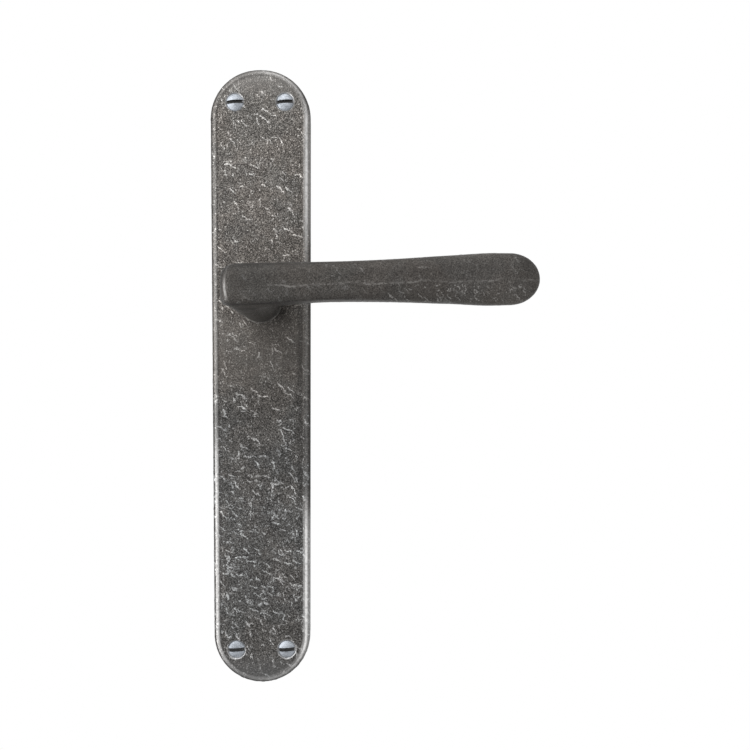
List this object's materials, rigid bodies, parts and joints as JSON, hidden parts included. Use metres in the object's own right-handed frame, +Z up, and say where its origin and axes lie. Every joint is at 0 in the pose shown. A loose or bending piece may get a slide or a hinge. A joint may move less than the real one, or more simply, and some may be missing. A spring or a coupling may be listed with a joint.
{
  "type": "door lever handle",
  "caption": "Sprung lever handle on a long blind backplate with rounded ends: the cast neck and grip turn a square spindle against a return spring.",
  "frame": {"origin": "where the spindle's axis crosses the door's face, which is the plane of the backplate's rear rim", "axes": "+X the way the lever points at rest, +Z up along the backplate, +Y into the door, so the front looks along -Y"},
  "size_m": [0.1234, 0.1284, 0.245],
  "materials": {
    "cast_iron": "pewter grey, hand-worked and waxed, with a worn bright rim",
    "zinc_steel": "bright zinc plated",
    "plain_steel": "drawn and zinc plated",
    "spring_steel": "oil blackened",
    "bush_bronze": "turned sintered bronze",
    "nylon": "natural nylon"
  },
  "bodies": {
    "plate": {"backplate": "cast_iron", "plate_screws": "zinc_steel", "neck_bush": "bush_bronze", "thrust_washer": "nylon", "return_spring": "spring_steel", "spring_anchor_pin": "plain_steel", "rest_stop_pin": "plain_steel", "travel_stop_pin": "plain_steel"},
    "lever": {"lever_handle": "cast_iron", "spindle": "plain_steel", "spindle_cross_pin": "plain_steel", "drive_plate": "plain_steel", "cup_washer": "spring_steel", "plain_washer": "plain_steel", "retaining_ring": "spring_steel"}
  },
  "joints": [
    {"name": "lever_turn", "type": "hinge", "parent": "plate", "child": "lever", "pos_m": [0, 0, 0], "axis": [0, 1, 0], "range_deg": [0, 45], "stiffness_Nm_per_rad": 0.285, "springref_deg": -60.16, "deforming": ["return_spring"]}
  ]
}
